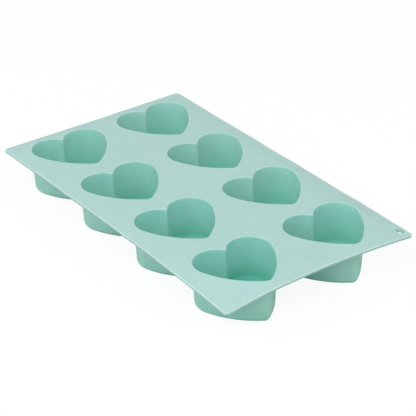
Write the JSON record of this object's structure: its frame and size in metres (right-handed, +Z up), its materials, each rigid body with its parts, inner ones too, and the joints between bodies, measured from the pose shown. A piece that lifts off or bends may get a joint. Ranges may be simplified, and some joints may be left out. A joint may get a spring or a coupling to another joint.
{
  "type": "silicone heart mould",
  "caption": "Silicone baking mould: a flat sheet with rows of deep drafted heart-shaped cups and a hanging hole in one corner.",
  "frame": {"origin": "on the surface it stands on, under the middle of the sheet", "axes": "+X along the sheet's long side, the way the hearts' tips point; +Y across it, towards the long edge with the hanging hole; +Z up, out of the cavities"},
  "size_m": [0.3, 0.1744, 0.0362],
  "materials": {
    "silicone": "fine matte mint-green silicone"
  },
  "bodies": {
    "root": {"mould": "silicone"}
  },
  "joints": []
}
